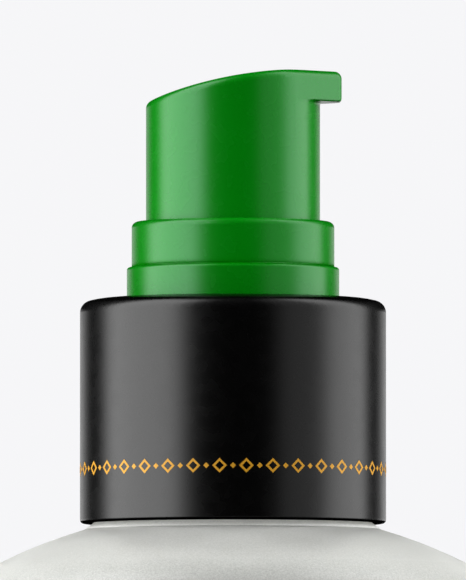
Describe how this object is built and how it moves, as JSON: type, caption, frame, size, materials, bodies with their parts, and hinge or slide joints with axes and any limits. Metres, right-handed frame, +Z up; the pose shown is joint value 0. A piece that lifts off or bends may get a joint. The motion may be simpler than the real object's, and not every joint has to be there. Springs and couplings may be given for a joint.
{
  "type": "foundation bottle",
  "caption": "Round frosted glass bottle with a domed shoulder, a black sleeve and a green press pump with a short side spout.",
  "frame": {"origin": "centre of the bottle's base, on the table", "axes": "+Z up along the bottle's axis, +X the way the spout points at rest"},
  "size_m": [0.042, 0.042, 0.098],
  "materials": {
    "frosted_glass": "frosted",
    "black_shell": "satin",
    "green_satin": "satin",
    "natural_plastic": "natural",
    "soft_plastic": "translucent",
    "gasket_foam": "matte",
    "spring_steel": "drawn wire",
    "ball_steel": "polished"
  },
  "bodies": {
    "bottle": {"bottle": "frosted_glass"},
    "pump": {"pump_housing": "natural_plastic", "housing_cap": "natural_plastic", "neck_gasket": "gasket_foam", "collar": "green_satin", "dip_tube": "soft_plastic"},
    "closure": {"screw_closure": "natural_plastic", "outer_sleeve": "black_shell"},
    "plunger": {"stem": "natural_plastic", "piston_rod": "natural_plastic", "spring": "spring_steel"},
    "head": {"actuator": "green_satin", "actuator_core": "natural_plastic"},
    "piston": {"piston": "soft_plastic"},
    "inlet_ball": {"inlet_ball": "ball_steel"}
  },
  "joints": [
    {"name": "pump_rise", "type": "slide", "parent": "bottle", "child": "pump", "axis": [0, 0, 1], "range_m": [0, 0.00794]},
    {"name": "closure_unscrew", "type": "hinge", "parent": "pump", "child": "closure", "pos_m": [0, 0, 0.0796], "axis": [0, 0, 1], "range_deg": [0, 900]},
    {"name": "head_press", "type": "slide", "parent": "pump", "child": "plunger", "axis": [0, 0, -1], "range_m": [0, 0.0045], "stiffness_N_per_m": 1100, "springref_m": -0.0045, "deforming": ["spring"]},
    {"name": "head_turn", "type": "hinge", "parent": "plunger", "child": "head", "pos_m": [0, 0, 0.091], "axis": [0, 0, 1], "continuous": true},
    {"name": "piston_travel", "type": "slide", "parent": "pump", "child": "piston", "axis": [0, 0, -1], "range_m": [0, 0.0039]},
    {"name": "inlet_ball_lift", "type": "slide", "parent": "pump", "child": "inlet_ball", "axis": [0, 0, 1], "range_m": [0, 0.0007]}
  ],
  "couplings": [
    {"joint": "pump_rise", "follows": "closure_unscrew", "m_per_rad": 0.00050532},
    {"joint": "piston_travel", "follows": "head_press", "ratio": 0.86667}
  ]
}
